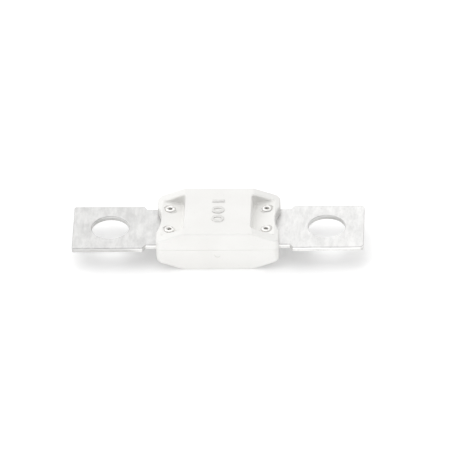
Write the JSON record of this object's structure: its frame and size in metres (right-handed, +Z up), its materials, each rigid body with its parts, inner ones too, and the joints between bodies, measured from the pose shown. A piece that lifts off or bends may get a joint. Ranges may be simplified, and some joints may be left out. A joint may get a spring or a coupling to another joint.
{
  "type": "bolt down strip fuse",
  "caption": "Bolt down strip fuse: a tinned metal strip with a stud hole in each end and a Z-shaped link shut in a riveted two-shell plastic housing.",
  "frame": {"origin": "middle of the housing's flat underside", "axes": "+X along the strip, +Y across it to the rear, +Z up, out of the housing's flat top"},
  "size_m": [0.0686, 0.0188, 0.0102],
  "materials": {
    "tinned_copper": "tin-plated",
    "housing_plastic": "moulded satin",
    "rivet_steel": "nickel-plated",
    "pill_tin": "bare tin"
  },
  "bodies": {
    "root": {"fuse_strip": "tinned_copper", "upper_housing": "housing_plastic", "lower_housing": "housing_plastic", "rivet_left_front": "rivet_steel", "rivet_left_rear": "rivet_steel", "rivet_right_front": "rivet_steel", "rivet_right_rear": "rivet_steel", "diffusion_pill": "pill_tin"}
  },
  "joints": []
}
